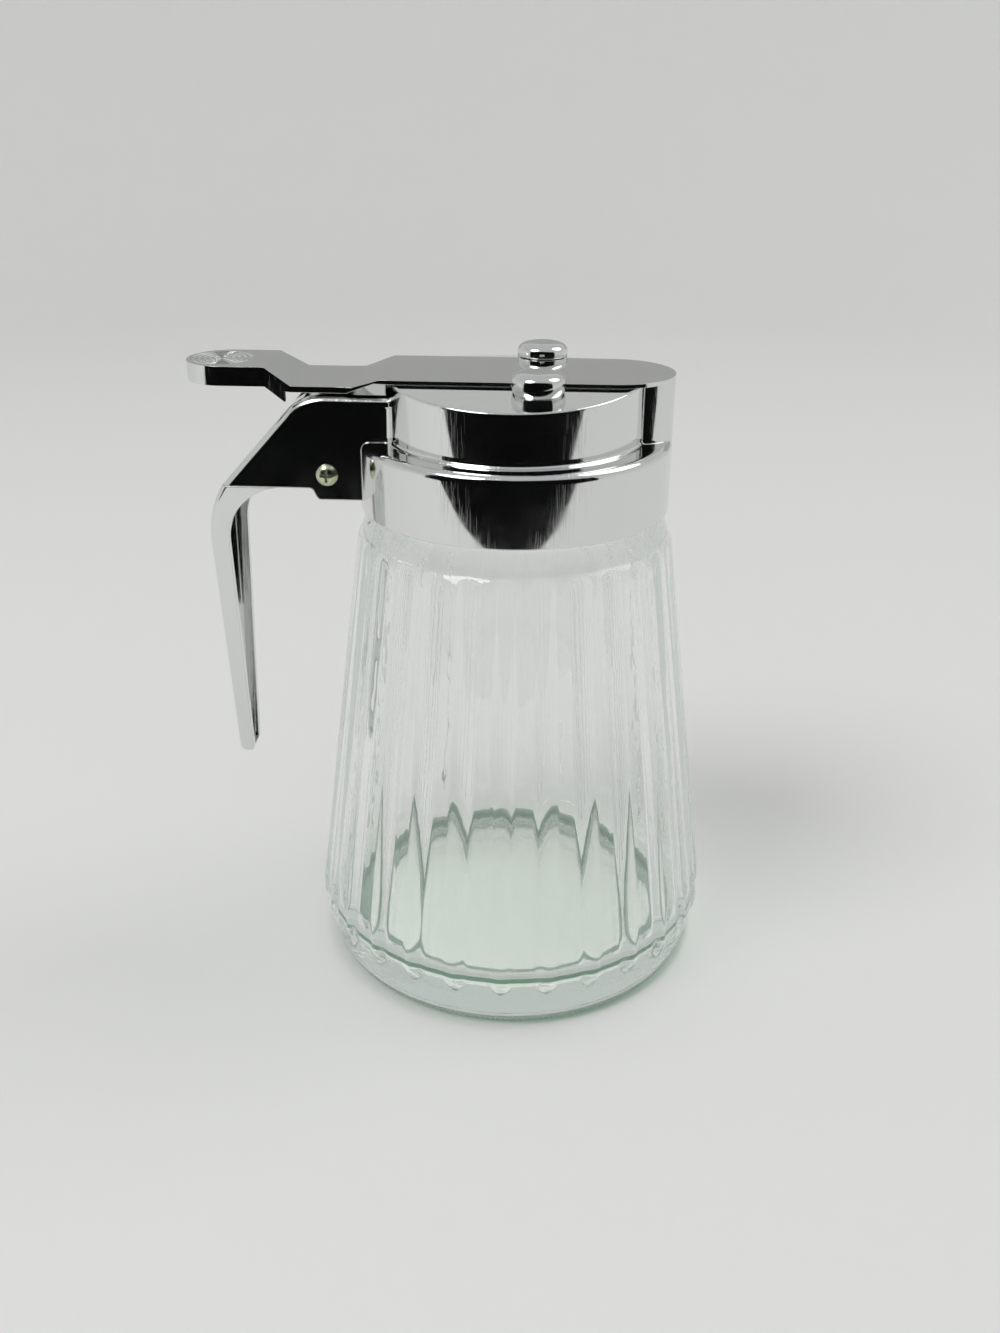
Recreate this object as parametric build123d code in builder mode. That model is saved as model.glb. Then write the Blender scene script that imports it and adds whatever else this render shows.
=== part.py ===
from build123d import *

import os
from math import cos, hypot, pi, radians, sin, sqrt, tan

# Syrup dispenser: a ribbed glass jar with a chromed screw top. The top carries a handle, and a
# sprung gate that the thumb pulls back to open the spout and that cuts the syrup off when let go.
# Millimetres. The origin is on the jar's axis, on the face it stands on; +Z is up and +X is the
# pouring side.

# ---------------------------------------------------------------- driving dimensions: glass jar
jar_heel_r = 47.3            # widest line of the smooth wall
jar_heel_z = 17.0
jar_foot_in = 2.8            # the heel rolls in to the foot by this much
jar_foot_z = 0.8
neck_r = 30.4
jar_collar_out = 2.9         # top of the plain shoulder, under the screw top
jar_shoulder_out = 2.1       # top of the ribbed cone, from the collar
jar_shoulder_z = 106.5
jar_shoulder_rise = 6.7
jar_collar_round = 0.6
neck_root_round = 0.8
neck_height = 13.0
lip_round = 0.9
neck_wall = 3.6
jar_wall = 3.0
jar_floor = 8.0              # pressed glass keeps a heavy bottom
floor_round = 9.0
mouth_round = 6.0
mouth_depth = 14.0           # from the lip down to where the bore opens out

rib_count = 28
rib_r = 2.6                  # round bead that shows 0.8 mm proud of the wall
rib_proud = 0.8
rib_low_z = 13.1
rib_top_gap = 1.5            # from the ribs' top to the plain shoulder

# ---------------------------------------------------------------- driving dimensions: screw thread
thread_pitch = 4.2
thread_quarters = 5          # quarter turns of thread on the glass and in the cap
glass_bead_r = 1.2
glass_bead_out = 0.2         # bead centre outside the neck
cap_bead_r = 1.3
cap_bead_in = 0.3            # bead centre inside the ring's bore
glass_bead_rise = 4.4        # start of the glass thread above the collar
thread_room = 2.5            # neck to the ring's bore

# ---------------------------------------------------------------- driving dimensions: screw top
gasket_t = 1.5
gasket_out = 2.0             # reach of the gasket past the neck
ring_wall = 2.1
ring_gap = 0.8               # ring to the jar's collar
ring_round = 1.8
shelf_t = 1.8
shelf_width = 6.0            # the drum stands in from the ring by this much
drum_wall = 1.8
drum_cove = 0.8
drum_height = 13.1           # shelf to the flat land that the gate slides on
deck_t = 2.0
land_margin = 0.1            # the land is this much wider than the gate, each side
facet_fall = 6.5             # degrees, each side of the land
rim_round = 0.5

spout_r = 8.0                # outside of the half-round front of the spout
spout_wall = 1.6
spout_floor = 1.6            # above the shelf

# Hollow arch between the drum and the grip
arch_half = 11.0
roof_drop = 3.2              # from the deck down to the arch's roof
arch_height = 20.6           # roof to the parting line where the grip meets the arch
arch_knee_reach = 17.4       # from the drum back to where the flat roof turns down
arch_knee_r = 12.0
arch_slope = 47.9            # degrees below level
arch_wall = 1.7
arch_edge_round = 2.2
arch_blend = 2.0             # hollow round where the cheeks meet the drum
lobe_drop = 2.6              # the cheeks reach this far below the parting, around the screw
lobe_reach = 3.5             # behind the screw
lobe_round = 1.2

# ---------------------------------------------------------------- driving dimensions: grip and screw
grip_wall = 1.6
grip_waist_half = 9.6
grip_waist_drop = 13.8       # parting line to the waist
grip_waist_out = 3.9         # outermost line of the grip, behind the arch's foot
grip_depth = 4.4             # depth of the channel section at the waist
grip_throat = 13.2           # depth of the channel section at the parting line
grip_length = 71.3           # parting line to the tip
grip_tip_half = 3.6
grip_tip_in = 0.9            # the tip stands nearer the jar than the waist
grip_tip_depth = 3.6
grip_tip_round = 1.8
grip_roof_t = 2.0
grip_back_round = 1.4

tang_t = 2.4
tang_side_gap = 0.15
tang_end_gap = 5.5           # from the arch's foot to the end of the tang
tang_lobe_r = 2.6

handle_screw_reach = 6.0     # behind the ring
handle_screw_rise = 3.2      # above the parting line
handle_screw_r = 1.5
handle_screw_head_r = 2.43
handle_screw_head_t = 1.5
handle_screw_rim = 0.35      # straight edge of the head
handle_screw_dome_r = 1.5    # where the head's crown bends most
handle_screw_dome_t = 1.27
handle_recess_r = 1.4        # cross recess
handle_recess_w = 0.55
handle_recess_t = 0.8
handle_screw_short = 0.4     # the tip stops this far inside the far cheek
screw_gap = 0.04

# ---------------------------------------------------------------- driving dimensions: gate
slide_gap = 0.05
plate_t = 0.85
plate_half = 13.2
drum_edge_gap = 0.7          # from the drum's back edge to the ramp
ramp_run = 6.3
ramp_lap = 1.2               # the top of the ramp starts this much nearer the spout
ramp_round = 22.0            # plan radius where the plate draws in to the neck
neck_t = 1.3
neck_gap = 0.7               # between the gate's neck and the arch roof
neck_side_gap = 0.1          # the neck is this much narrower than the arch, each side
neck_reach = 13.0            # behind the ring
pad_slope_run = 6.0
pad_length = 19.0
pad_rise = 3.6               # above the neck
pad_half = 9.2
pad_plan_round = 3.0
skirt_depth = 4.2
skirt_drop = 3.0             # the skirt follows the ramp down this far
skirt_wall = 1.4
skirt_start = 1.5            # behind the end of the neck
pad_ring_out = 1.5           # centre of the pressed rings, from the centre of the pad's round end
pad_ring_first_r = 1.4
pad_ring_pitch = 1.3
pad_ring_count = 5
pad_ring_width = 0.45
pad_ring_depth = 0.3

gate_travel = 10.0
lug_front_gap = 0.8          # lug to the ring behind the drum
lug_t = 2.5
lug_half = 3.0
lug_screw_gap = 0.4
slot_gap = 0.3

# ---------------------------------------------------------------- driving dimensions: return spring
spring_r = 2.0               # outside of the coil
spring_wire = 0.5
spring_quarters = 26
spring_end_gap = 0.05
spring_space = 14.9          # from the lug to the web that the spring pushes against
spring_stop_t = 1.6
spigot_gap = 0.2
spigot_length = 2.0

# ---------------------------------------------------------------- driving dimensions: guide knobs
knob_x = 5.4
knob_r = 5.8
knob_foot_r = 4.6            # at the level where the knob's foot is cut to the deck
knob_foot_drop = 1.2         # that level, below the land
knob_belly = 1.7             # widest line of the knob, above the land
knob_height = 4.0            # top of the knob, above the land
knob_axis_gap = 2.8          # from the gate's edge to the knob's axis
knob_side_gap = 0.2          # foot to the edge of the gate
knob_under_gap = 0.15        # head to the top of the gate
knob_bore_depth = 2.6
knob_boss_r = 3.0
knob_boss_drop = 3.4         # from the land to the flat that the screw's head bears on
knob_screw_r = 1.0
knob_screw_head_r = 1.9
knob_screw_head_t = 1.3
knob_screw_spare = 0.3       # from the tip to the end of its bore

# ---------------------------------------------------------------- sizes that follow
OVERCUT = 1.0                # cutting solids run this far past the faces they open

jar_foot_r = jar_heel_r - jar_foot_in
jar_collar_r = neck_r + jar_collar_out
jar_shoulder_r = jar_collar_r + jar_shoulder_out
jar_collar_z = jar_shoulder_z + jar_shoulder_rise
lip_z = jar_collar_z + neck_height
mouth_r = neck_r - neck_wall
rib_high_z = jar_shoulder_z - rib_top_gap
glass_bead_z = jar_collar_z + glass_bead_rise

ring_low_z = jar_collar_z + ring_gap
ring_bore_r = neck_r + thread_room
ring_r = ring_bore_r + ring_wall
shelf_low_z = lip_z + gasket_t
shelf_z = shelf_low_z + shelf_t
drum_r = ring_r - shelf_width
deck_z = shelf_z + drum_height
land_half = plate_half + land_margin
spout_x = ring_r - spout_r
spout_bore_r = spout_r - spout_wall

arch_roof_z = deck_z - roof_drop
parting_z = arch_roof_z - arch_height
arch_knee_x = -(drum_r + arch_knee_reach)
arch_back_x = arch_knee_x - arch_height / tan(radians(arch_slope))
lobe_low_z = parting_z - lobe_drop
handle_screw_x = -(ring_r + handle_screw_reach)
handle_screw_z = parting_z + handle_screw_rise
lobe_x = handle_screw_x - lobe_reach

grip_top_half = arch_half
grip_waist_z = parting_z - grip_waist_drop
grip_waist_x = arch_back_x - grip_waist_out
grip_throat_x = arch_back_x + grip_throat
grip_low_z = parting_z - grip_length
grip_tip_x = grip_waist_x + grip_tip_in
tang_back_x = arch_back_x + tang_end_gap

plate_front_x = ring_r
plate_low_z = deck_z + slide_gap
plate_z = plate_low_z + plate_t
neck_low_z = arch_roof_z + neck_gap
neck_z = neck_low_z + neck_t
neck_half = arch_half - neck_side_gap
neck_end_x = -(ring_r + neck_reach)
ramp_x = -(drum_r + drum_edge_gap)
plate_centre_x = plate_front_x - plate_half
pad_start_x = neck_end_x - pad_slope_run
pad_end_x = pad_start_x - pad_length
pad_centre_x = pad_end_x + pad_half
pad_z = neck_z + pad_rise
pad_ring_x = pad_centre_x - pad_ring_out
skirt_start_x = neck_end_x - skirt_start

lug_front_x = -(ring_r + lug_front_gap)
lug_back_x = lug_front_x - lug_t
lug_low_z = handle_screw_z + tang_lobe_r + lug_screw_gap
spring_z = lug_low_z + spring_r
spring_stop_x = lug_back_x - spring_space
spigot_r = spring_r - spring_wire - spigot_gap

knob_y = plate_half + knob_axis_gap
knob_boss_z = deck_z - knob_boss_drop

cone_lean = (jar_heel_r - jar_shoulder_r) / (jar_shoulder_z - jar_heel_z)

os.makedirs("parts", exist_ok=True)


def write(builder, name):
    builder.part.label = name
    export_step(builder.part, "parts/" + name + ".step")


def cone_r(z):
    """Radius of the smooth glass wall at a height on the ribbed cone."""
    return jar_heel_r - cone_lean * (z - jar_heel_z)


def coil_point(radius, pitch, angle):
    return Vector(radius * cos(angle), radius * sin(angle), pitch * angle / (2 * pi))


def coil_tangent(radius, pitch, angle):
    return Vector(-radius * sin(angle), radius * cos(angle), pitch / (2 * pi)).normalized()


def arc_between(start, corner, end):
    """Arc from start to end whose end tangents meet at corner, which is as far from both."""
    middle = (start + end) * 0.5
    half_chord = (end - start).length / 2
    lean = (corner - middle).length / half_chord
    half_turn_tan = (sqrt(1 + lean**2) - 1) / lean
    crest = middle + (corner - middle).normalized() * half_chord * half_turn_tan
    ThreePointArc(tuple(start), tuple(crest), tuple(end))


def coil_path(radius, pitch, quarters):
    """Rising coil about the plane's Z axis, as two tangent arcs in every quarter turn."""
    for quarter in range(quarters):
        angle = quarter * pi / 2
        start = coil_point(radius, pitch, angle)
        end = coil_point(radius, pitch, angle + pi / 2)
        leaving = coil_tangent(radius, pitch, angle)
        arriving = coil_tangent(radius, pitch, angle + pi / 2)
        chord = end - start
        along = chord.dot(leaving + arriving)
        spread = 2 * (1 - leaving.dot(arriving))
        reach = (sqrt(along**2 + spread * chord.dot(chord)) - along) / spread
        first_corner = start + leaving * reach
        second_corner = end - arriving * reach
        join = (first_corner + second_corner) * 0.5
        arc_between(start, first_corner, join)
        arc_between(join, second_corner, end)


def bead(radius, z, bead_r):
    """Thread bead: a round bar wound up round the Z axis from height z."""
    with BuildPart() as thread:
        with BuildLine(Plane.XY.offset(z)) as path:
            coil_path(radius, thread_pitch, thread_quarters)
        with BuildSketch(Plane(origin=path.line @ 0, z_dir=path.line % 0)):
            Circle(bead_r)
        sweep(path=path.line)
    return thread.part


def sloped_disc(radius, low_z, top_z):
    """Disc with a flat land across the middle of its top and a sloping facet on either side."""
    with BuildPart() as disc:
        with BuildSketch(Plane.XY.offset(low_z)):
            Circle(radius)
        extrude(amount=top_z - low_z)
        with BuildSketch(Plane.YZ):
            reach = radius + OVERCUT
            fall = (reach - land_half) * tan(radians(facet_fall))
            with BuildLine():
                Polyline((land_half, top_z), (reach, top_z - fall), (reach, top_z + OVERCUT), close=True)
            make_face()
            mirror(about=Plane.YZ)
        extrude(amount=reach, both=True, mode=Mode.SUBTRACT)
    return disc.part


# ---------------------------------------------------------------- glass jar
rib_depth = rib_r - rib_proud
rib_low = Vector(cone_r(rib_low_z) - rib_depth, 0, rib_low_z)
rib_high = Vector(cone_r(rib_high_z) - rib_depth, 0, rib_high_z)
rib_length = (rib_high - rib_low).length

with BuildPart() as rib:
    # A round-ended bar lying in the wall, along the slope of the cone.
    with BuildSketch(Plane(origin=rib_low, x_dir=rib_high - rib_low, z_dir=(0, -1, 0))):
        with BuildLine():
            CenterArc((0, 0), rib_r, 90, 90)
            Line((0, rib_r), (rib_length, rib_r))
            CenterArc((rib_length, 0), rib_r, 0, 90)
            Line((rib_length + rib_r, 0), (-rib_r, 0))
        make_face()
    revolve(axis=Axis(rib_low, rib_high - rib_low))

with BuildPart() as glass_jar:
    with BuildSketch(Plane.XZ):
        with BuildLine():
            Polyline((0, 0), (jar_foot_r - jar_foot_z, 0))
            foot = Line((jar_foot_r - jar_foot_z, 0), (jar_foot_r, jar_foot_z))
            TangentArc((jar_heel_r, jar_heel_z), foot @ 1, tangent=(cone_lean, -1))
            Line((jar_heel_r, jar_heel_z), (jar_shoulder_r, jar_shoulder_z))
            shoulder = TangentArc(
                (jar_shoulder_r, jar_shoulder_z), (jar_collar_r, jar_collar_z), tangent=(-cone_lean, 1)
            )
            FilletPolyline(
                shoulder @ 1,
                (jar_collar_r - jar_collar_round, jar_collar_z + jar_collar_round),
                (neck_r, jar_collar_z + jar_collar_round),
                (neck_r, lip_z),
                radius=(jar_collar_round, neck_root_round),
            )
            Polyline((neck_r, lip_z), (0, lip_z), (0, 0))
        make_face()
    revolve()
    with PolarLocations(0, rib_count):
        add(rib.part)
    add(bead(neck_r + glass_bead_out, glass_bead_z, glass_bead_r))
    with BuildSketch(Plane.XZ):
        with BuildLine():
            bore_low_z = lip_z - mouth_depth
            FilletPolyline(
                (0, jar_floor),
                (cone_r(jar_floor) - jar_wall, jar_floor),
                (cone_r(rib_high_z) - jar_wall, rib_high_z),
                (mouth_r, bore_low_z),
                (mouth_r, lip_z + OVERCUT),
                (0, lip_z + OVERCUT),
                radius=(floor_round, mouth_round, mouth_round, lip_round),
            )
            Line((0, lip_z + OVERCUT), (0, jar_floor))
        make_face()
    revolve(mode=Mode.SUBTRACT)
    lip = glass_jar.faces().filter_by(Axis.Z).sort_by(Axis.Z)[-1]
    fillet(lip.edges(), radius=lip_round)
write(glass_jar, "glass_jar")

# ---------------------------------------------------------------- gasket between lip and screw top
with BuildPart() as cap_gasket:
    with BuildSketch(Plane.XY.offset(lip_z)):
        Circle(neck_r + gasket_out)
        Circle(mouth_r, mode=Mode.SUBTRACT)
    extrude(amount=gasket_t)
write(cap_gasket, "cap_gasket")

# ---------------------------------------------------------------- chromed screw top
arch_reach_z = ring_low_z - arch_wall - OVERCUT
arch_reach_x = arch_knee_x - (arch_roof_z - arch_reach_z) / tan(radians(arch_slope))

with BuildSketch(Plane.XZ) as arch_side:
    # The arch from the side, run on down and forward past what is kept of it.
    with BuildLine():
        FilletPolyline(
            (0, arch_roof_z), (arch_knee_x, arch_roof_z), (arch_reach_x, arch_reach_z), radius=arch_knee_r
        )
        Polyline((arch_reach_x, arch_reach_z), (0, arch_reach_z), (0, arch_roof_z))
    make_face()

with BuildSketch(Plane.XZ) as arch_inside:
    add(arch_side.sketch_local)
    offset(amount=-arch_wall, kind=Kind.INTERSECTION, mode=Mode.REPLACE)

with BuildPart() as drum:
    # Drum with its half-round spout in front, rounded along the rim of the deck.
    add(sloped_disc(drum_r, shelf_z, deck_z))
    with BuildSketch(Plane.XY.offset(shelf_z - ring_round / 2)):
        with Locations((spout_x, 0)):
            Circle(spout_r)
    extrude(amount=deck_z - shelf_z + ring_round / 2)
    rim = drum.edges().filter_by_position(Axis.Z, deck_z - deck_t, deck_z)
    rim = rim.filter_by(lambda edge: hypot((edge @ 0.5).X, (edge @ 0.5).Y) > drum_r - rim_round)
    rim = rim.filter_by(lambda edge: abs((edge @ 0).Z - (edge @ 1).Z) < deck_t)
    fillet(rim, radius=rim_round)

with BuildPart() as cap_body:
    # Arch: roof and cheeks, open below for the grip's tang.
    extrude(arch_side.sketch, amount=arch_half, both=True)
    roof_edges = cap_body.faces().filter_by(Axis.Y).edges()
    roof_edges = roof_edges.filter_by_position(Axis.Z, arch_reach_z + OVERCUT, arch_roof_z)
    fillet(roof_edges.filter_by_position(Axis.X, arch_reach_x, -OVERCUT), radius=arch_edge_round)
    extrude(arch_inside.sketch, amount=arch_half - arch_wall, both=True, mode=Mode.SUBTRACT)
    with BuildSketch(Plane.XZ):
        with BuildLine():
            FilletPolyline(
                (arch_reach_x - OVERCUT, parting_z),
                (lobe_x, parting_z),
                (lobe_x + lobe_round, lobe_low_z),
                (0, lobe_low_z),
                radius=lobe_round,
            )
            Polyline(
                (0, lobe_low_z),
                (0, arch_reach_z - OVERCUT),
                (arch_reach_x - OVERCUT, arch_reach_z - OVERCUT),
                (arch_reach_x - OVERCUT, parting_z),
            )
        make_face()
    extrude(amount=arch_half + OVERCUT, both=True, mode=Mode.SUBTRACT)
    # Web across the arch that the return spring pushes against, with a spigot inside the coil.
    with BuildSketch(Plane.YZ.offset(spring_stop_x)):
        with Locations((0, spring_z)):
            Rectangle(2 * (arch_half - arch_wall), 2 * spring_r)
    extrude(amount=-spring_stop_t)
    with BuildSketch(Plane.YZ.offset(spring_stop_x)):
        with Locations((0, spring_z)):
            Circle(spigot_r)
    extrude(amount=spigot_length)
    # Slot in the roof that the gate's lug runs in.
    with BuildSketch(Plane.XY.offset(spring_z)):
        slot_front_x = lug_front_x + slot_gap
        slot_back_x = lug_back_x - gate_travel - slot_gap
        with Locations(((slot_front_x + slot_back_x) / 2, 0)):
            Rectangle(slot_front_x - slot_back_x, 2 * (lug_half + slot_gap))
    extrude(amount=arch_roof_z + OVERCUT - spring_z, mode=Mode.SUBTRACT)

    # Threaded ring, shelf and drum.
    with BuildSketch(Plane.XZ):
        with BuildLine():
            FilletPolyline(
                (ring_r, ring_low_z),
                (ring_r, shelf_z),
                (drum_r, shelf_z),
                (drum_r, shelf_z + 2 * drum_cove),
                radius=(ring_round, drum_cove),
            )
            Polyline((drum_r, shelf_z + 2 * drum_cove), (0, shelf_z + 2 * drum_cove), (0, ring_low_z),
                     (ring_r, ring_low_z))
        make_face()
    revolve()
    add(drum.part)
    # Hollow rounds where the cheeks of the arch run into the drum.
    with BuildSketch(Plane.XY.offset(shelf_z)) as blend:
        Circle(drum_r)
        with Locations((-ring_r / 2, 0)):
            Rectangle(ring_r, 2 * arch_half)
        corners = blend.vertices().filter_by(lambda point: abs(point.X + drum_r) < drum_r - ring_r / 2)
        fillet(corners, radius=arch_blend)
    extrude(amount=arch_roof_z - arch_edge_round - shelf_z)

    # Inside: bore of the ring, hollow of the drum, and the pouring channel up through the deck.
    with BuildSketch(Plane.XY.offset(ring_low_z - OVERCUT)):
        Circle(ring_bore_r)
    extrude(amount=shelf_low_z - ring_low_z + OVERCUT, mode=Mode.SUBTRACT)
    add(sloped_disc(drum_r - drum_wall, shelf_low_z - OVERCUT, deck_z - deck_t), mode=Mode.SUBTRACT)
    with BuildSketch(Plane.XY.offset(shelf_z + spout_floor)):
        with Locations((spout_x, 0)):
            Circle(spout_bore_r)
    extrude(amount=deck_z + OVERCUT - shelf_z - spout_floor, mode=Mode.SUBTRACT)
    # Bosses under the deck and holes for the knob screws.
    with BuildSketch(Plane.XY.offset(knob_boss_z)):
        with Locations((knob_x, knob_y), (knob_x, -knob_y)):
            Circle(knob_boss_r)
    extrude(amount=knob_boss_drop - deck_t / 2)
    with BuildSketch(Plane.XY.offset(knob_boss_z - OVERCUT)):
        with Locations((knob_x, knob_y), (knob_x, -knob_y)):
            Circle(knob_screw_r + screw_gap)
    extrude(amount=deck_z + 2 * OVERCUT - knob_boss_z, mode=Mode.SUBTRACT)
    # Hole for the handle screw through both cheeks.
    with BuildSketch(Plane.XZ):
        with Locations((handle_screw_x, handle_screw_z)):
            Circle(handle_screw_r + screw_gap)
    extrude(amount=arch_half + OVERCUT, both=True, mode=Mode.SUBTRACT)
    add(bead(ring_bore_r - cap_bead_in, glass_bead_z - thread_pitch / 2, cap_bead_r))
write(cap_body, "cap_body")

# ---------------------------------------------------------------- grip
channel_roof_z = parting_z - grip_roof_t


def grip_side(shift, back_shift):
    """Side view of the grip, with its back moved in by back_shift and its open edge by shift."""
    with BuildSketch(Plane.XZ) as side:
        with BuildLine():
            back_top = (arch_back_x + back_shift, parting_z)
            back_waist = (grip_waist_x + back_shift, grip_waist_z)
            tip_z = grip_low_z + grip_tip_depth / 2
            back_tip = (grip_tip_x + back_shift, tip_z)
            edge_tip = (grip_tip_x + grip_tip_depth + shift, tip_z)
            edge_waist = (grip_waist_x + grip_depth + shift, grip_waist_z)
            edge_top = (grip_throat_x + shift, parting_z)
            straight_back = Line(back_waist, back_tip)
            TangentArc(back_waist, back_top, tangent=straight_back % 0 * -1)
            straight_edge = Line(edge_tip, edge_waist)
            TangentArc(edge_waist, edge_top, tangent=straight_edge % 1)
            Line(edge_top, back_top)
            ThreePointArc(back_tip, ((back_tip[0] + edge_tip[0]) / 2, grip_low_z + back_shift), edge_tip)
        make_face()
    return side.sketch


with BuildSketch(Plane.YZ) as grip_front:
    # Front view of the grip: broad under the arch, quickly drawn in, then a slow taper to the tip.
    with BuildLine():
        sides = FilletPolyline(
            (grip_waist_half, grip_waist_z),
            (grip_tip_half, grip_low_z),
            (0, grip_low_z),
            radius=grip_tip_round,
        )
        TangentArc((grip_waist_half, grip_waist_z), (grip_top_half, parting_z), tangent=sides % 0 * -1)
        Line((grip_top_half, parting_z), (0, parting_z))
        mirror(about=Plane.YZ)
    make_face()

with BuildPart() as grip_channel:
    # Hollow of the channel section, open towards the jar.
    extrude(grip_side(grip_depth, grip_wall), amount=grip_top_half, both=True)
    with BuildSketch(Plane.YZ):
        add(grip_front.sketch_local)
        offset(amount=-grip_wall, mode=Mode.REPLACE)
    extrude(amount=2 * abs(grip_waist_x), both=True, mode=Mode.INTERSECT)
    with BuildSketch(Plane.XY.offset(channel_roof_z)):
        Rectangle(4 * abs(grip_waist_x), 4 * grip_top_half)
    extrude(amount=grip_roof_t + OVERCUT, mode=Mode.SUBTRACT)

with BuildPart() as handle_grip:
    extrude(grip_side(0, 0), amount=grip_top_half + OVERCUT, both=True)
    extrude(grip_front.sketch, amount=2 * abs(grip_waist_x), both=True, mode=Mode.INTERSECT)
    back_edges = handle_grip.edges().filter_by(lambda edge: (edge @ 0.5).X < grip_waist_x + grip_back_round)
    back_edges = back_edges.filter_by(lambda edge: abs((edge @ 0.5).Y) > grip_tip_half)
    fillet(back_edges, radius=grip_back_round)
    add(grip_channel.part, mode=Mode.SUBTRACT)
    # Tang that closes the arch from below, with a knuckle round the screw.
    with BuildSketch(Plane.XZ):
        with BuildLine():
            Polyline(
                (tang_back_x, parting_z),
                (handle_screw_x, parting_z),
                (handle_screw_x, parting_z + tang_t),
                (tang_back_x, parting_z + tang_t),
                close=True,
            )
        make_face()
        with Locations((handle_screw_x, handle_screw_z)):
            Circle(tang_lobe_r)
    extrude(amount=arch_half - arch_wall - tang_side_gap, both=True)
    with BuildSketch(Plane.XZ):
        with Locations((handle_screw_x, handle_screw_z)):
            Circle(handle_screw_r + screw_gap)
    extrude(amount=arch_half, both=True, mode=Mode.SUBTRACT)
write(handle_grip, "handle_grip")

# ---------------------------------------------------------------- handle screw
with BuildPart() as handle_screw:
    with BuildSketch(Plane(origin=(handle_screw_x, 0, handle_screw_z), x_dir=(1, 0, 0), z_dir=(0, 0, 1))):
        with BuildLine():
            Polyline(
                (0, arch_half - handle_screw_short),
                (handle_screw_r, arch_half - handle_screw_short),
                (handle_screw_r, -arch_half),
                (handle_screw_head_r, -arch_half),
                (handle_screw_head_r, -arch_half - handle_screw_rim),
            )
            ThreePointArc(
                (handle_screw_head_r, -arch_half - handle_screw_rim),
                (handle_screw_dome_r, -arch_half - handle_screw_dome_t),
                (0, -arch_half - handle_screw_head_t),
            )
            Line((0, -arch_half - handle_screw_head_t), (0, arch_half - handle_screw_short))
        make_face()
    revolve(axis=Axis((handle_screw_x, 0, handle_screw_z), (0, 1, 0)))
    # Cross recess.
    with BuildSketch(Plane.XZ.offset(arch_half + handle_screw_head_t - handle_recess_t)):
        with Locations((handle_screw_x, handle_screw_z)):
            Rectangle(2 * handle_recess_r, handle_recess_w)
            Rectangle(handle_recess_w, 2 * handle_recess_r)
    extrude(amount=handle_screw_head_t, mode=Mode.SUBTRACT)
write(handle_screw, "handle_screw")

# ---------------------------------------------------------------- gate
with BuildSketch() as gate_plan:
    # Plan of the gate: round front, straight plate, narrower neck, round thumb pad.
    with BuildLine():
        CenterArc((plate_centre_x, 0), plate_half, 0, 90)
        FilletPolyline(
            (plate_centre_x, plate_half),
            (ramp_x + ramp_lap, plate_half),
            (ramp_x - ramp_run, neck_half),
            (neck_end_x, neck_half),
            (pad_start_x, pad_half),
            (pad_centre_x, pad_half),
            radius=(ramp_round, ramp_round, pad_plan_round, pad_plan_round),
        )
        CenterArc((pad_centre_x, 0), pad_half, 90, 90)
        mirror(about=Plane.XZ)
    make_face()

with BuildPart() as pad_hollow:
    # Room inside the skirt, under the thumb pad and its ramp.
    with BuildSketch(Plane.XY.offset(neck_z - 2 * skirt_depth)):
        add(gate_plan.sketch)
        offset(amount=-skirt_wall, mode=Mode.REPLACE)
    extrude(amount=pad_z)
    with BuildSketch(Plane.XZ):
        with BuildLine():
            Polyline(
                (skirt_start_x + OVERCUT, neck_low_z - OVERCUT),
                (neck_end_x, neck_low_z - OVERCUT),
                (neck_end_x, neck_low_z),
                (pad_start_x, pad_z - neck_t),
                (pad_end_x, pad_z - neck_t),
                (pad_end_x, neck_z - 2 * skirt_depth),
                (skirt_start_x + OVERCUT, neck_z - 2 * skirt_depth),
                close=True,
            )
        make_face()
    extrude(amount=plate_half, both=True, mode=Mode.INTERSECT)

with BuildPart() as gate_slide:
    # Side view: flat plate, ramp down behind the drum, neck over the arch, ramp up to the thumb pad.
    with BuildSketch(Plane.XZ):
        with BuildLine():
            Polyline(
                (plate_front_x, plate_z),
                (ramp_x + ramp_lap, plate_z),
                (ramp_x + ramp_lap - ramp_run, neck_z),
                (neck_end_x, neck_z),
                (pad_start_x, pad_z),
                (pad_end_x, pad_z),
                (pad_end_x, pad_z - skirt_depth),
                (pad_start_x, pad_z - skirt_depth),
                (skirt_start_x, pad_z - skirt_depth - skirt_drop),
                (skirt_start_x, neck_low_z),
                (ramp_x - ramp_run, neck_low_z),
                (ramp_x, plate_low_z),
                (plate_front_x, plate_low_z),
                close=True,
            )
        make_face()
    extrude(amount=plate_half + OVERCUT, both=True)
    with BuildSketch(Plane.XY.offset(neck_z - 2 * skirt_depth)):
        add(gate_plan.sketch)
    extrude(amount=pad_z, mode=Mode.INTERSECT)
    add(pad_hollow.part, mode=Mode.SUBTRACT)
    # Lug that reaches down through the slot in the arch, with a spigot for the return spring.
    with BuildSketch(Plane.XY.offset(lug_low_z)):
        with Locations(((lug_front_x + lug_back_x) / 2, 0)):
            Rectangle(lug_t, 2 * lug_half)
    extrude(amount=neck_low_z + neck_t / 2 - lug_low_z)
    with BuildSketch(Plane.YZ.offset(lug_back_x)):
        with Locations((0, spring_z)):
            Circle(spigot_r)
    extrude(amount=-spigot_length)
    # Rings pressed into the thumb pad for grip.
    with BuildSketch(Plane.XY.offset(pad_z)):
        with Locations((pad_ring_x, 0)):
            for ring in reversed(range(pad_ring_count)):
                groove_r = pad_ring_first_r + ring * pad_ring_pitch
                Circle(groove_r + pad_ring_width / 2)
                Circle(groove_r - pad_ring_width / 2, mode=Mode.SUBTRACT)
    extrude(amount=-pad_ring_depth, mode=Mode.SUBTRACT)
write(gate_slide, "gate_slide")

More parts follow.
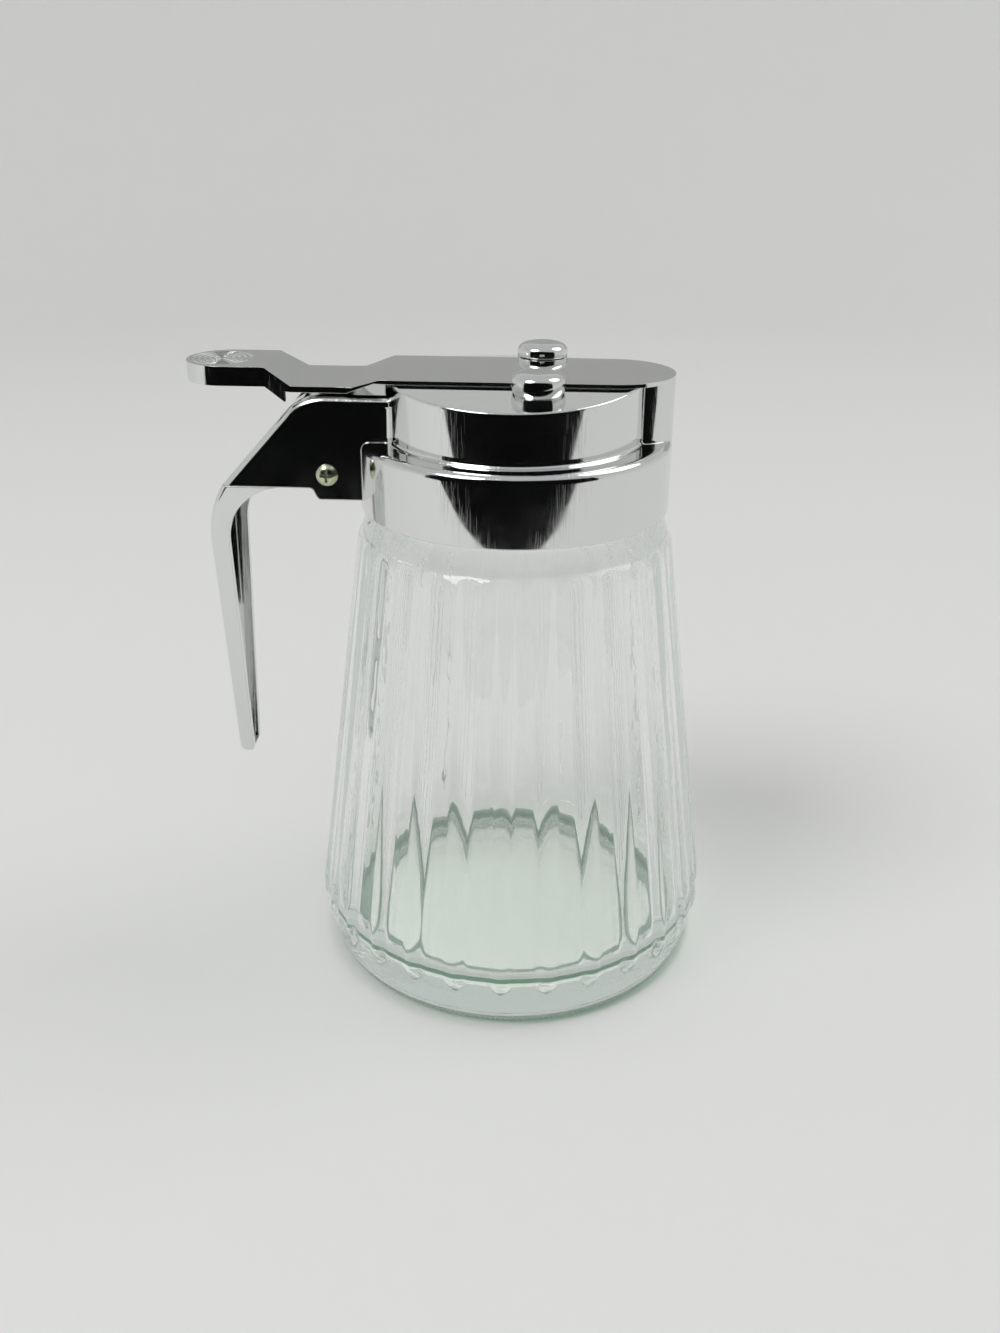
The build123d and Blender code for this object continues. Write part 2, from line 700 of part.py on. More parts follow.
# ---------------------------------------------------------------- return spring
spring_start_x = lug_back_x - spring_end_gap - spring_wire / 2
spring_length = spring_start_x - (spring_stop_x + spring_end_gap + spring_wire / 2)
spring_pitch = spring_length * 4 / spring_quarters
coil_r = spring_r - spring_wire / 2

with BuildPart() as return_spring:
    with BuildLine(Plane(origin=(spring_start_x, 0, spring_z), z_dir=(-1, 0, 0))) as coil:
        coil_path(coil_r, spring_pitch, spring_quarters)
    with BuildSketch(Plane(origin=coil.line @ 0, z_dir=coil.line % 0)):
        Circle(spring_wire / 2)
    sweep(path=coil.line)
write(return_spring, "return_spring")


def coil_self_gap(radius, pitch, wire, quarters):
    """Least gap between the wire of a coil and the wire of its next turns, from points along it."""
    per_quarter = 16
    per_turn = 4 * per_quarter
    count = per_quarter * quarters + 1
    points = [coil_point(radius, pitch, step * 2 * pi / per_turn) for step in range(count)]
    gaps = [
        (points[i] - points[j]).length - wire
        for i in range(count)
        for j in range(i + per_turn // 2, min(i + 2 * per_turn, count))
    ]
    return min(gaps)


least_gap = coil_self_gap(coil_r, spring_pitch, spring_wire, spring_quarters)
print("return spring, least gap between turns", least_gap)

# ---------------------------------------------------------------- guide knobs and their screws
knob_belly_z = deck_z + knob_belly
knob_foot_z = deck_z - knob_foot_drop
knob_top_z = deck_z + knob_height

for name, side in (("guide_knob_near", -1), ("guide_knob_far", 1)):
    with BuildPart() as guide_knob:
        # Round bun, cut below to the sloping deck.
        with BuildSketch(Plane(origin=(knob_x, side * knob_y, 0), x_dir=(1, 0, 0), z_dir=(0, -1, 0))):
            with BuildLine():
                Polyline((0, knob_top_z), (0, knob_foot_z), (knob_foot_r, knob_foot_z))
                TangentArc((knob_r, knob_belly_z), (knob_foot_r, knob_foot_z), tangent=(0, -1))
                Spline((knob_r, knob_belly_z), (0, knob_top_z), tangents=((0, 1), (-1, 0)))
            make_face()
        revolve(axis=Axis((knob_x, side * knob_y, 0), (0, 0, 1)))
        add(sloped_disc(drum_r, shelf_z, deck_z), mode=Mode.SUBTRACT)
        # Way for the gate, whose edge runs under this side of the knob.
        with BuildSketch(Plane.XY.offset(deck_z - OVERCUT)):
            with Locations((knob_x, 0)):
                Rectangle(4 * knob_r, 2 * (plate_half + knob_side_gap))
        extrude(amount=plate_z + knob_under_gap - deck_z + OVERCUT, mode=Mode.SUBTRACT)
        with BuildSketch(Plane.XY.offset(deck_z - knob_foot_drop)):
            with Locations((knob_x, side * knob_y)):
                Circle(knob_screw_r + screw_gap)
        extrude(amount=knob_bore_depth + knob_foot_drop, mode=Mode.SUBTRACT)
    write(guide_knob, name)

with BuildPart() as knob_screws:
    with BuildSketch(Plane.XY.offset(knob_boss_z)):
        with Locations((knob_x, knob_y), (knob_x, -knob_y)):
            Circle(knob_screw_head_r)
    extrude(amount=-knob_screw_head_t)
    with BuildSketch(Plane.XY.offset(knob_boss_z)):
        with Locations((knob_x, knob_y), (knob_x, -knob_y)):
            Circle(knob_screw_r)
    extrude(amount=deck_z + knob_bore_depth - knob_screw_spare - knob_boss_z)
write(knob_screws, "knob_screws")
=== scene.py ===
from math import atan2, copysign, cos, hypot, pi, radians, sin, sqrt

import bmesh
import bpy
from mathutils import Matrix, Vector


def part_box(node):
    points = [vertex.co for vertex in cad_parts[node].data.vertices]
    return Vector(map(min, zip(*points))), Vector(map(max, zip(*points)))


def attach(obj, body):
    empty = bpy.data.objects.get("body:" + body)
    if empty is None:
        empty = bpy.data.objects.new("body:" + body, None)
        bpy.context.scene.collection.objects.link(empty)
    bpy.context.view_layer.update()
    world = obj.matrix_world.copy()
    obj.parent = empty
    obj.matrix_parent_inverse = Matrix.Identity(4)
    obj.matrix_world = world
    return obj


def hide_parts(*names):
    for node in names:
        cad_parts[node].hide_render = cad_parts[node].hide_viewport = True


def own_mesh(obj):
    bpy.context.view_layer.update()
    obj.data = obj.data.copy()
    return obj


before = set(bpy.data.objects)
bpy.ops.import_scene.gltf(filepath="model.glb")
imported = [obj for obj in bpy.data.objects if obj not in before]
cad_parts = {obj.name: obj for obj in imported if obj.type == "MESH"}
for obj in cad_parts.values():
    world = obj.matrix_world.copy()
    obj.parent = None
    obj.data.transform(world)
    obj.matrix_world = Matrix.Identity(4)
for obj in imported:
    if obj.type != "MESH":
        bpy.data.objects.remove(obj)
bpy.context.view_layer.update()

# ------------------------------------------------------------------------------ glass jar
# A pressed soda-lime jar with 28 round ribs, a heavy bottom and a screw neck. Its outline is
# turned about the axis, and the ribs, the thread and the stippled foot are raised on it, as the
# mould leaves them. The ribs bend what is seen through the far wall into upright streaks.
mm = 0.001
jar_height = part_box("glass_jar")[1][2]

rib_count = 28
rib_columns = 16                 # mesh columns from one rib to the next
rib_half = 2.5 * mm
rib_proud = 0.8 * mm
rib_low = 13.1 * mm
rib_high = 105.0 * mm

heel_r, heel_z = 47.3 * mm, 17.0 * mm
cone_top_r, cone_top_z = 35.4 * mm, 106.5 * mm
cone_lean = (heel_r - cone_top_r) / (cone_top_z - heel_z)
neck_r = 30.4 * mm
collar_z = 113.8 * mm
mouth_r = 26.8 * mm
wall = 3.0 * mm
floor_z = 8.0 * mm

thread_z = 117.6 * mm
thread_pitch = 4.2 * mm
thread_turns = 1.25
thread_round = 1.2 * mm
thread_out = 0.2 * mm

hollow_depth = 0.9 * mm          # the hollow under the bottom, inside the bearing edge
stipple = 0.45 * mm
stipple_top = 2.5 * mm
bearing_r, stippled_r = 37 * mm, 43 * mm   # where the frosting and the notches begin


def linear(code):
    """An sRGB hex colour as Blender's linear one."""
    parts = [int(code[i : i + 2], 16) / 255 for i in (1, 3, 5)]
    return [p / 12.92 if p <= 0.04045 else ((p + 0.055) / 1.055) ** 2.4 for p in parts] + [1.0]


def add(tree, kind, settings=(), inputs=()):
    """Adds a node, with its settings by name and its inputs as numbers or as links."""
    made = tree.nodes.new(kind)
    for name, value in dict(settings).items():
        setattr(made, name, value)
    for name, value in dict(inputs).items():
        if isinstance(value, bpy.types.NodeSocket):
            tree.links.new(value, made.inputs[name])
        else:
            made.inputs[name].default_value = value
    return made


def new_finish(name):
    """An empty material and its tree."""
    finish = bpy.data.materials.new(name)
    finish.use_nodes = True
    finish.node_tree.nodes.clear()
    return finish, finish.node_tree


def smooth_piece(name, mesh_work, finish, body, sharpest=radians(40)):
    """Turns the bmesh into a shaded piece that rides on its body."""
    for edge in mesh_work.edges:
        edge.smooth = len(edge.link_faces) == 2 and edge.calc_face_angle(pi) < sharpest
    for face in mesh_work.faces:
        face.smooth = True
    mesh = bpy.data.meshes.new(name)
    mesh_work.to_mesh(mesh)
    mesh_work.free()
    mesh.materials.append(finish)
    piece = bpy.data.objects.new(name, mesh)
    bpy.context.scene.collection.objects.link(piece)
    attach(piece, body)
    return piece


def pressed_glass(name, roughness):
    """Soda-lime glass: colourless face on, faintly green where it is thick, drawn in streaks."""
    finish, tree = new_finish(name)
    place = add(tree, "ShaderNodeTexCoord").outputs["Object"]
    ripple_width, ripple_length = 5 * mm, 18 * mm
    drawn = add(
        tree,
        "ShaderNodeMapping",
        inputs={
            "Vector": place,
            "Scale": (1 / ripple_width, 1 / ripple_width, 1 / ripple_length),
        },
    )
    ripple = add(
        tree,
        "ShaderNodeTexNoise",
        inputs={"Vector": drawn.outputs["Vector"], "Scale": 1.0, "Detail": 2.0},
    )
    bump = add(
        tree,
        "ShaderNodeBump",
        inputs={"Strength": 0.5, "Distance": 0.25 * mm, "Height": ripple.outputs["Fac"]},
    )
    glass = add(
        tree,
        "ShaderNodeBsdfPrincipled",
        inputs={
            "Base Color": linear("#fcfdfc"),
            "Roughness": roughness,
            "IOR": 1.52,
            "Transmission Weight": 1.0,
            "Normal": bump.outputs["Normal"],
        },
    )
    # Lamps shine through it, and each face they cross keeps a little of their light.
    path = add(tree, "ShaderNodeLightPath")
    let_through = add(tree, "ShaderNodeBsdfTransparent", inputs={"Color": linear("#eef1ef")})
    clear = add(
        tree,
        "ShaderNodeMixShader",
        inputs={
            0: path.outputs["Is Shadow Ray"],
            1: glass.outputs["BSDF"],
            2: let_through.outputs["BSDF"],
        },
    )
    # Painted light: where the wall has mirrored a ray four times or passed it on ten times, the
    # glass glows in a fixed pale colour, a painted glow that stands for the room's average light.
    mirrored = add(
        tree,
        "ShaderNodeMath",
        {"operation": "GREATER_THAN"},
        {0: path.outputs["Glossy Depth"], 1: 3.5},
    )
    passed_on = add(
        tree,
        "ShaderNodeMath",
        {"operation": "GREATER_THAN"},
        {0: path.outputs["Ray Depth"], 1: 9.5},
    )
    painted_glow_mask = add(
        tree,
        "ShaderNodeMath",
        {"operation": "MAXIMUM"},
        {0: mirrored.outputs[0], 1: passed_on.outputs[0]},
    )
    # Painted glow: the pale colour that the glass gives off there, in place of traced light.
    painted_room_glow = add(
        tree, "ShaderNodeEmission", inputs={"Color": linear("#d6dbd7"), "Strength": 0.8}
    )
    surface = add(
        tree,
        "ShaderNodeMixShader",
        inputs={0: painted_glow_mask.outputs[0], 1: clear.outputs["Shader"], 2: painted_room_glow.outputs["Emission"]},
    )
    tint = add(
        tree, "ShaderNodeVolumeAbsorption", inputs={"Color": linear("#d3e6dc"), "Density": 4.0}
    )
    add(
        tree,
        "ShaderNodeOutputMaterial",
        inputs={"Surface": surface.outputs["Shader"], "Volume": tint.outputs["Volume"]},
    )
    return finish


def cone_r(z):
    """The jar's outer radius between its ribs, at a height."""
    return heel_r - cone_lean * (z - heel_z)


def outline_work(corners):
    """A wire outline in the XZ plane. Each corner is (radius, height, tangent length)."""
    work = bmesh.new()
    points = [work.verts.new((r, 0, z)) for r, z, _ in corners]
    for start, end in zip(points, points[1:]):
        work.edges.new((start, end))
    for point, (_, _, reach) in zip(points, corners):
        if reach:
            bmesh.ops.bevel(
                work,
                geom=[point],
                offset=reach,
                affect="VERTICES",
                segments=8,
                profile=0.5,
                material=-1,
            )
    return work


def cut_rows(work, heights):
    """Cuts the outline at these heights, so that the turned mesh has a row there."""
    for z in heights:
        bmesh.ops.bisect_plane(
            work, geom=work.verts[:] + work.edges[:], plane_co=(0, 0, z), plane_no=(0, 0, 1)
        )


def turn_about_axis(work, steps):
    """Turns the outline into a closed skin whose faces point outwards."""
    bmesh.ops.spin(
        work,
        geom=work.verts[:] + work.edges[:],
        cent=(0, 0, 0),
        axis=(0, 0, 1),
        angle=2 * pi,
        steps=steps,
        use_merge=True,
    )
    bmesh.ops.remove_doubles(work, verts=work.verts[:], dist=0.001 * mm)
    bmesh.ops.recalc_face_normals(work, faces=work.faces[:])


jar_corners = [
    (0, hollow_depth, 0),
    (33.0 * mm, hollow_depth, 8.0 * mm),
    (40.5 * mm, 0, 1.0 * mm),
    (43.7 * mm, 0, 0),
    (44.5 * mm, 0.8 * mm, 0),
    (48.435 * mm, 8.462 * mm, 8.55 * mm),
    (34.93 * mm, 110.03 * mm, 3.5 * mm),
    (33.3 * mm, 113.2 * mm, 0.3 * mm),
    (32.7 * mm, collar_z, 0.3 * mm),
    (neck_r, collar_z, 0.5 * mm),
    (neck_r, jar_height, 0.9 * mm),
    (mouth_r, jar_height, 0.9 * mm),
    (mouth_r, jar_height - 14 * mm, 2.4 * mm),
    (cone_r(rib_high) - wall, rib_high, 2.4 * mm),
    (cone_r(floor_z) - wall, floor_z, 11.0 * mm),
    (0, floor_z, 0),
]
jar_work = outline_work(jar_corners)
fine_row, wall_row = 0.4 * mm, 7 * mm
stipple_row = stipple_top - 0.1 * mm
rib_end_rows = [rib_low - rib_half + i * fine_row for i in range(8)]
rib_end_rows += [rib_high + (i - 1) * fine_row for i in range(9)]
thread_rows = [thread_z + (i - 4) * fine_row for i in range(24)]
wall_rows = [20 * mm + i * wall_row for i in range(12)]
cut_rows(jar_work, [stipple_row] + rib_end_rows + thread_rows + wall_rows)
turn_about_axis(jar_work, rib_count * rib_columns)


def rib_height(across, past_end):
    """How far a rib stands out, at a distance across it and past its end."""
    painted_room_glow = 1 - (across**2 + past_end**2) / rib_half**2
    return rib_proud * painted_room_glow if painted_room_glow > 0 else 0


def drawn_share(share, edge, draw):
    """Draws a column towards the nearest rib, so that half of the columns lie on ribs.

    The column's share and the rib's edge are told from the rib's middle, as parts of a rib step.
    """
    if abs(share) < 0.25:
        drawn = share * 4 * edge
    else:
        drawn = copysign(edge + (abs(share) - 0.25) * 4 * (0.5 - edge), share)
    return share + (drawn - share) * draw


def thread_r(angle, z):
    """The radius of the thread's round back at this place, or the neck's where there is none."""
    r = neck_r
    for turn in (0, 1):
        wound = (angle % (2 * pi)) / (2 * pi) + turn
        off = abs(z - thread_z - wound * thread_pitch)
        run_out = min(1, max(0, min(wound, thread_turns - wound)) * 20)
        if off < thread_round:
            r = max(r, neck_r + run_out * (thread_out + sqrt(thread_round**2 - off**2)))
    return r


rib_step = 2 * pi / rib_count
ribbed_low, ribbed_high = 4 * mm, cone_top_z + 3 * mm
drawn_in, drawn_out = 4 * mm, 2 * mm       # heights over which the columns are drawn together
skin = 1.2 * mm                            # what lies this near the cone is the outer face
for vert in jar_work.verts:
    r, z = hypot(vert.co.x, vert.co.y), vert.co.z
    if r < 1 * mm:
        continue
    angle = atan2(vert.co.y, vert.co.x)
    if ribbed_low < z < ribbed_high and r > cone_r(z) - skin:
        nearest = round(angle / rib_step)
        draw = min(1, (z - ribbed_low) / drawn_in) * min(1, (ribbed_high - z) / drawn_out)
        share = drawn_share(angle / rib_step - nearest, rib_half / r / rib_step, draw)
        angle = (nearest + share) * rib_step
        r += rib_height(share * rib_step * r, max(0, rib_low - z, z - rib_high))
    elif z > collar_z and r > neck_r - 0.05 * mm:
        r = max(r, thread_r(angle, z))
    elif z < stipple_top and r > stippled_r and round(angle / rib_step * rib_columns) % 2:
        # Every second column of the bearing edge is notched.
        r -= stipple
        z += stipple if z < stipple else 0
    vert.co = (r * cos(angle), r * sin(angle), z)

# The bearing edge is frosted by its stipples, so it scatters the light and looks pale.
for face in jar_work.faces:
    middle = face.calc_center_median()
    if middle.z < stipple_top and hypot(middle.x, middle.y) > bearing_r:
        face.material_index = 1
glass = pressed_glass("clear_pressed_glass", 0.0)
jar = smooth_piece("jar_of_ribbed_glass", jar_work, glass, "jar", radians(75))
jar.data.materials.append(pressed_glass("stippled_glass", 0.4))
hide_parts("glass_jar")

# ------------------------------------------------------------------------------ sealing ring
# A soft vinyl washer that lies on the glass lip and seals the screw top. It is punched from
# sheet, so its faces are flat and its edges barely rounded.


def soft_vinyl():
    """Milky plasticised vinyl: matt, a little see-through at its edges."""
    finish, tree = new_finish("soft_vinyl")
    place = add(tree, "ShaderNodeTexCoord").outputs["Object"]
    grain_size = 0.6 * mm
    grain = add(tree, "ShaderNodeTexNoise", inputs={"Vector": place, "Scale": 1 / grain_size})
    bump = add(
        tree,
        "ShaderNodeBump",
        inputs={"Strength": 0.2, "Distance": 0.05 * mm, "Height": grain.outputs["Fac"]},
    )
    vinyl = add(
        tree,
        "ShaderNodeBsdfPrincipled",
        inputs={
            "Base Color": linear("#dcdad2"),
            "Roughness": 0.55,
            "IOR": 1.53,
            "Subsurface Weight": 0.2,
            "Subsurface Radius": (0.6, 0.6, 0.5),
            "Subsurface Scale": 1 * mm,
            "Normal": bump.outputs["Normal"],
        },
    )
    add(tree, "ShaderNodeOutputMaterial", inputs={"Surface": vinyl.outputs["BSDF"]})
    return finish


gasket_low, gasket_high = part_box("cap_gasket")
gasket_edge = 0.2 * mm
gasket_work = outline_work(
    [
        (mouth_r, gasket_low[2], gasket_edge),
        (gasket_high[0], gasket_low[2], gasket_edge),
        (gasket_high[0], gasket_high[2], gasket_edge),
        (mouth_r, gasket_high[2], gasket_edge),
        (mouth_r, gasket_low[2], gasket_edge),
    ]
)
turn_about_axis(gasket_work, 96)
gasket = smooth_piece("sealing_washer", gasket_work, soft_vinyl(), "gasket")
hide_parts("cap_gasket")

# ------------------------------------------------------------------------------ screw top
# The ring, drum, spout and hollow arch are one moulding in ABS, plated with nickel and chrome.
# The plating mirrors all round it, with fine hairlines from wiping.


def chrome_on_abs(name, edge_round):
    """Bright chrome on moulded plastic: a mirror with slight waves, haze and hairlines.

    Real hairlines are a few hundredths of a millimetre wide. They are drawn wider, so they show.
    """
    finish, tree = new_finish(name)
    place = add(tree, "ShaderNodeTexCoord").outputs["Object"]
    haze_size, wave_length = 9 * mm, 16 * mm
    hairline, line_length = 0.12 * mm, 9 * mm
    haze = add(
        tree,
        "ShaderNodeTexNoise",
        inputs={"Vector": place, "Scale": 1 / haze_size, "Detail": 4.0, "Roughness": 0.6},
    )
    rough = add(
        tree,
        "ShaderNodeMapRange",
        inputs={
            "Value": haze.outputs["Fac"],
            "From Min": 0.35,
            "From Max": 0.75,
            "To Min": 0.03,
            "To Max": 0.1,
        },
    )
    lines = None
    for turned in (20, -35, 75):
        lie = add(
            tree,
            "ShaderNodeMapping",
            inputs={
                "Vector": place,
                "Rotation": (radians(turned), radians(turned / 2), radians(turned)),
                "Scale": (1 / hairline, 1 / line_length, 1 / line_length),
            },
        )
        streak = add(
            tree,
            "ShaderNodeTexNoise",
            inputs={"Vector": lie.outputs["Vector"], "Scale": 1.0, "Detail": 0.0},
        )
        line = add(
            tree,
            "ShaderNodeMapRange",
            inputs={"Value": streak.outputs["Fac"], "From Min": 0.72, "From Max": 0.78},
        )
        if lines is None:
            lines = line.outputs["Result"]
        else:
            lines = add(
                tree,
                "ShaderNodeMath",
                {"operation": "MAXIMUM"},
                {0: lines, 1: line.outputs["Result"]},
            ).outputs[0]
    waves = add(
        tree,
        "ShaderNodeTexNoise",
        inputs={"Vector": place, "Scale": 1 / wave_length, "Detail": 1.0},
    )
    edges = add(tree, "ShaderNodeBevel", {"samples": 6}, {"Radius": edge_round})
    moulding = add(
        tree,
        "ShaderNodeBump",
        inputs={
            "Strength": 0.12,
            "Distance": 0.25 * mm,
            "Height": waves.outputs["Fac"],
            "Normal": edges.outputs["Normal"],
        },
    )
    wiping = add(
        tree,
        "ShaderNodeBump",
        {"invert": True},
        {
            "Strength": 0.25,
            "Distance": 0.01 * mm,
            "Height": lines,
            "Normal": moulding.outputs["Normal"],
        },
    )
    plating = add(
        tree,
        "ShaderNodeBsdfPrincipled",
        inputs={
            "Base Color": linear("#e4e5e4"),
            "Metallic": 1.0,
            "Roughness": rough.outputs["Result"],
            "Normal": wiping.outputs["Normal"],
        },
    )
    add(tree, "ShaderNodeOutputMaterial", inputs={"Surface": plating.outputs["BSDF"]})
    return finish


def plated_copy(name, node, finish, body):
    """A smoothly shaded copy of a node's solid, with the same faces."""
    work = bmesh.new()
    work.from_mesh(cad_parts[node].data)
    bmesh.ops.remove_doubles(work, verts=work.verts[:], dist=0.001 * mm)
    piece = smooth_piece(name, work, finish, body, radians(30))
    even = piece.modifiers.new("even_normals", "WEIGHTED_NORMAL")
    even.keep_sharp = True
    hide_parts(node)
    return piece


chrome = chrome_on_abs("chrome_on_abs", 0.35 * mm)
plated_copy("screw_top", "cap_body", chrome, "cap")

# ------------------------------------------------------------------------------ grip
# The handle is a second plated moulding, a channel that is open towards the jar. Its tang closes
# the arch from below, and one screw through its knuckle holds it.
plated_copy("grip", "handle_grip", chrome, "cap")

# ------------------------------------------------------------------------------ screws
# The handle's pan-head screw and the two small screws under the knobs are steel, zinc plated
# and passivated, which gives them a faint yellow green.


def zinc_plated_steel():
    """Zinc with a chromate film: soft metal gloss in clouds of pale and deeper yellow green."""
    finish, tree = new_finish("zinc_plated_steel")
    place = add(tree, "ShaderNodeTexCoord").outputs["Object"]
    cloud_size = 0.7 * mm
    cloud = add(
        tree,
        "ShaderNodeTexNoise",
        inputs={"Vector": place, "Scale": 1 / cloud_size, "Detail": 3.0},
    )
    colour = add(
        tree,
        "ShaderNodeMix",
        {"data_type": "RGBA"},
        {0: cloud.outputs["Fac"], 6: linear("#d9dcc4"), 7: linear("#b9c2a0")},
    )
    rough = add(
        tree,
        "ShaderNodeMapRange",
        inputs={"Value": cloud.outputs["Fac"], "To Min": 0.15, "To Max": 0.35},
    )
    edges = add(tree, "ShaderNodeBevel", {"samples": 4}, {"Radius": 0.12 * mm})
    steel = add(
        tree,
        "ShaderNodeBsdfPrincipled",
        inputs={
            "Base Color": colour.outputs[2],
            "Metallic": 1.0,
            "Roughness": rough.outputs["Result"],
            "Normal": edges.outputs["Normal"],
        },
    )
    add(tree, "ShaderNodeOutputMaterial", inputs={"Surface": steel.outputs["BSDF"]})
    return finish


zinc = zinc_plated_steel()
plated_copy("grip_screw", "handle_screw", zinc, "cap")
plated_copy("screws_under_knobs", "knob_screws", zinc, "cap")

# ------------------------------------------------------------------------------ guide knobs
# Two turned and plated knobs screwed down on the deck. The gate runs between their stems and
# under their heads.
for side in ("near", "far"):
    plated_copy("knob_" + side, "guide_knob_" + side, chrome, "cap")

# ------------------------------------------------------------------------------ gate
# The sliding gate is one plated moulding: a flat plate over the spout, a narrow neck, and a
# thumb pad with pressed rings. A lug below it pushes the spring.
gate_chrome = chrome_on_abs("chrome_on_gate", 0.12 * mm)
gate = plated_copy("gate", "gate_slide", gate_chrome, "gate")

# The rings in the pad are as wide as the lands between them, and their sides slope. The solid has
# them with upright sides, so both rims of each groove are moved.
pad_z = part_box("gate_slide")[1][2]
ring_x, ring_first, ring_pitch, ring_count = -65.3 * mm, 1.4 * mm, 1.3 * mm, 5
groove_low = pad_z - 0.35 * mm
solid_half = 0.225 * mm                    # half of a groove's width in the solid
top_half, floor_half = 0.33 * mm, 0.2 * mm
for vert in gate.data.vertices:
    x, y, z = vert.co.x - ring_x, vert.co.y, vert.co.z
    r = hypot(x, y)
    ring = round((r - ring_first) / ring_pitch)
    off = r - ring_first - ring * ring_pitch
    on_rim = abs(abs(off) - solid_half) < 0.03 * mm
    if z > groove_low and 0 <= ring < ring_count and on_rim:
        half = top_half if z > pad_z - 0.05 * mm else floor_half
        moved = (r - off + copysign(half, off)) / r
        vert.co = (ring_x + x * moved, y * moved, z)

# ------------------------------------------------------------------------------ return spring
# A coil of bright spring wire between the gate's lug and the web in the arch. It is wound
# on a mandrel. The real spring shortens as the gate is pulled back; this one keeps one length.
spring_low, spring_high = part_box("return_spring")
wire_r = 0.25 * mm
spring_turns = 6.5
steps_a_turn = 24
coil_r = (spring_high[2] - spring_low[2]) / 2 - wire_r
coil_z = (spring_high[2] + spring_low[2]) / 2


def bright_spring_wire():
    """Drawn carbon steel wire: grey metal with a gloss that varies along the wire."""
    finish, tree = new_finish("bright_spring_wire")
    place = add(tree, "ShaderNodeTexCoord").outputs["Object"]
    patch_size = 0.5 * mm
    drawn = add(tree, "ShaderNodeTexNoise", inputs={"Vector": place, "Scale": 1 / patch_size})
    rough = add(
        tree,
        "ShaderNodeMapRange",
        inputs={"Value": drawn.outputs["Fac"], "To Min": 0.2, "To Max": 0.4},
    )
    wire = add(
        tree,
        "ShaderNodeBsdfPrincipled",
        inputs={
            "Base Color": linear("#b8b6b0"),
            "Metallic": 1.0,
            "Roughness": rough.outputs["Result"],
        },
    )
    add(tree, "ShaderNodeOutputMaterial", inputs={"Surface": wire.outputs["BSDF"]})
    return finish


spring_work = bmesh.new()
section = bmesh.ops.create_circle(spring_work, radius=wire_r, segments=10)["verts"]
bmesh.ops.rotate(spring_work, verts=section, matrix=Matrix.Rotation(pi / 2, 3, "X"))
bmesh.ops.translate(
    spring_work, verts=section, vec=(spring_high[0] - 2 * wire_r, 0, coil_z + coil_r)
)
coil_length = spring_high[0] - spring_low[0] - 4 * wire_r
spring_steps = round(steps_a_turn * spring_turns)
bmesh.ops.spin(
    spring_work,
    geom=spring_work.verts[:] + spring_work.edges[:],
    cent=(0, 0, coil_z),
    axis=(1, 0, 0),
    dvec=(-coil_length / spring_steps, 0, 0),
    angle=2 * pi * spring_turns,
    steps=spring_steps,
)
bmesh.ops.holes_fill(spring_work, edges=[e for e in spring_work.edges if e.is_boundary])
bmesh.ops.recalc_face_normals(spring_work, faces=spring_work.faces[:])
spring = smooth_piece(
    "spring_of_bright_wire", spring_work, bright_spring_wire(), "cap"
)
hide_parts("return_spring")
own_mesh(spring)

# ------------------------------------------------------------------------------ floor and light
# A pale sweep under and round the jar, soft lamps above, a dark card in front and a low grey one
# behind. Only the reflections see the cards, as in a light tent with its front open.


def stage_finish(name, code):
    """Matt paper or card in one colour."""
    finish, tree = new_finish(name)
    paint = add(
        tree,
        "ShaderNodeBsdfPrincipled",
        inputs={"Base Color": linear(code), "Roughness": 0.9, "Specular IOR Level": 0.1},
    )
    add(tree, "ShaderNodeOutputMaterial", inputs={"Surface": paint.outputs["BSDF"]})
    return finish


def stage_piece(name, work, finish):
    """Turns the bmesh into a piece of the studio."""
    for face in work.faces:
        face.smooth = True
    mesh = bpy.data.meshes.new(name)
    work.to_mesh(mesh)
    work.free()
    mesh.materials.append(finish)
    piece = bpy.data.objects.new(name, mesh)
    bpy.context.scene.collection.objects.link(piece)
    return piece


sweep_r, sweep_height, sweep_bend = 1.5, 1.4, 0.6
paper_z = -0.3 * mm              # a little below the foot, so that light gets under it
sweep_work = outline_work(
    [(0, paper_z, 0), (sweep_r, paper_z, sweep_bend), (sweep_r, sweep_height, 0)]
)
turn_about_axis(sweep_work, 64)
stage_piece("pale_sweep", sweep_work, stage_finish("pale_paper", "#e6e6e4"))


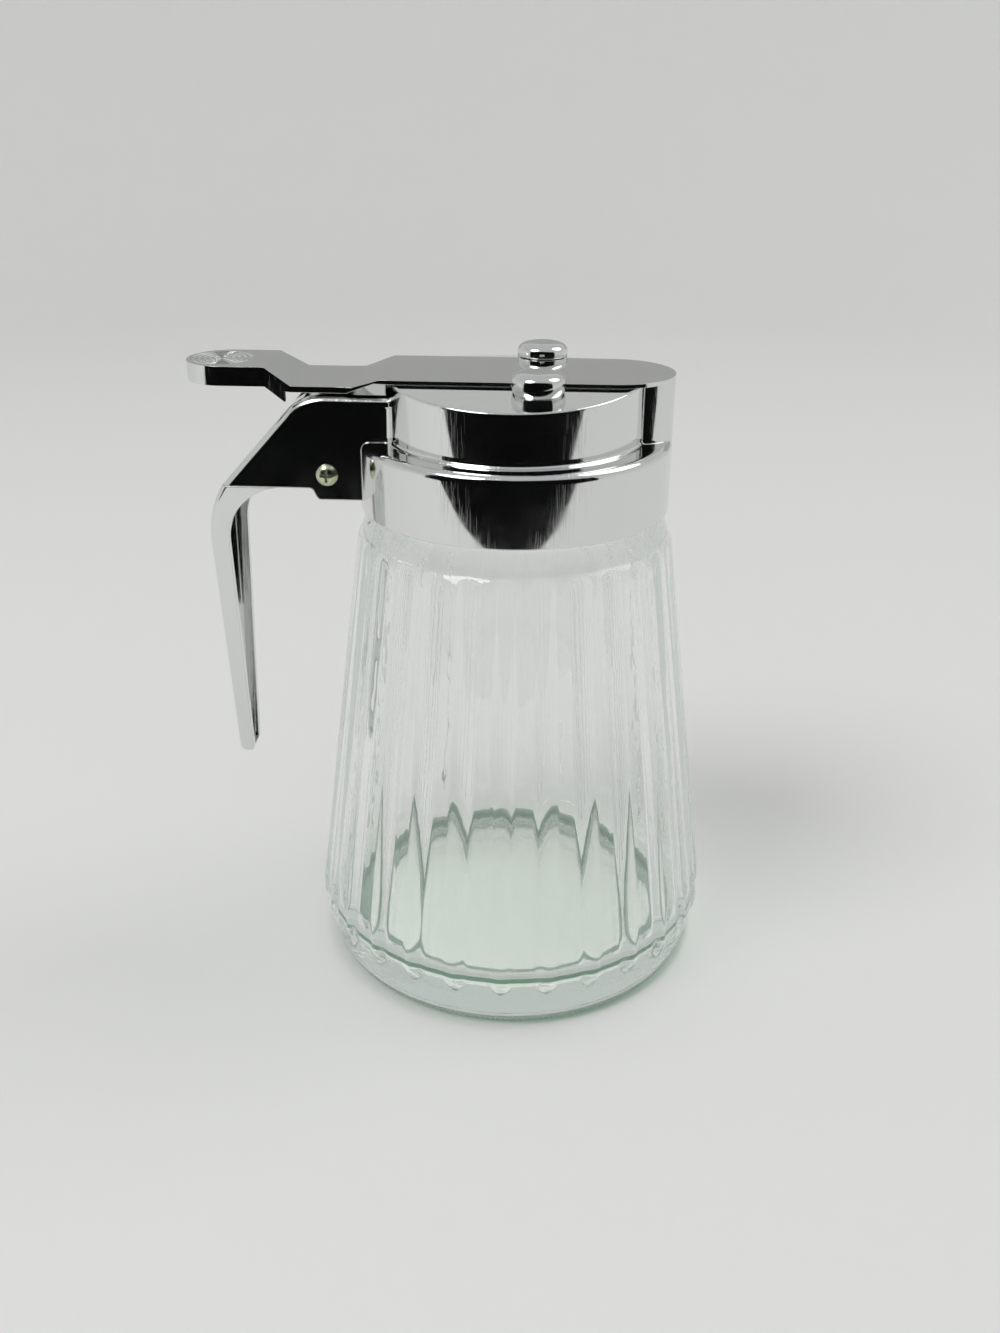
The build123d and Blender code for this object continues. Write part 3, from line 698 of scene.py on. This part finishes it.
def reflected_card(name, middle, width, height, code):
    """An upright card that only the reflections see."""
    work = bmesh.new()
    bmesh.ops.create_grid(
        work,
        x_segments=1,
        y_segments=1,
        size=0.5,
        matrix=Matrix.Translation(middle)
        @ Matrix.Rotation(pi / 2, 4, "X")
        @ Matrix.Diagonal((width, height, 1, 1)),
    )
    card = stage_piece(name, work, stage_finish(name, code))
    card.visible_camera = False
    card.visible_diffuse = False
    card.visible_transmission = False
    card.visible_shadow = False
    card.visible_volume_scatter = False


reflected_card("dark_card", (0, -0.215, 0.2), 0.76, 0.31, "#060607")
reflected_card("grey_card", (0, 0.9, 0.31), 1.4, 0.32, "#b9b9b7")

world = bpy.data.worlds.new("studio")
world.use_nodes = True
bpy.context.scene.world = world
sky = world.node_tree.nodes["Background"]
sky.inputs["Color"].default_value = linear("#d8dadb")
sky.inputs["Strength"].default_value = 0.75

lit_middle = Vector((0, 0, 0.08))


def lamp(name, place, size, power):
    """A round soft lamp that faces the middle of the jar."""
    light = bpy.data.lights.new(name, "AREA")
    light.shape = "DISK"
    light.size = size
    light.energy = power
    source = bpy.data.objects.new(name, light)
    bpy.context.scene.collection.objects.link(source)
    source.location = place
    source.rotation_euler = (lit_middle - Vector(place)).to_track_quat("-Z", "Y").to_euler()


lamp("key", (-0.7, -0.6, 1.3), 0.7, 8)
lamp("fill", (0.9, 0.3, 1.2), 0.9, 4)

# ------------------------------------------------------------------------------ camera
# The photograph's view: a phone's main lens at 1000 by 1333 pixels, about 0.35 m from the jar and
# looking down at 25 degrees. Pitch, roll and turn put its frame where the photograph's is.
picture_height = 1333
focal_px = 1300.0
pitch, roll, turned = radians(24.93), radians(0.35), radians(3.08)
camera_place = Vector((12.26, -286.15, 204.7)) * mm

forward = Vector((0, cos(pitch), -sin(pitch)))
right = Vector((1, 0, 0))
above = Vector((0, sin(pitch), cos(pitch)))
right, above = right * cos(roll) + above * sin(roll), above * cos(roll) - right * sin(roll)
axes = Matrix((right, above, -forward)).transposed()
lens = bpy.data.cameras.new("camera")
lens.sensor_width = 36
lens.lens = focal_px / picture_height * lens.sensor_width
lens.clip_start = 0.01
camera = bpy.data.objects.new("camera", lens)
bpy.context.scene.collection.objects.link(camera)
camera.matrix_world = Matrix.Translation(camera_place) @ (
    Matrix.Rotation(turned, 3, "Z") @ axes
).to_4x4()
bpy.context.scene.camera = camera
bpy.context.scene.view_settings.view_transform = "Standard"
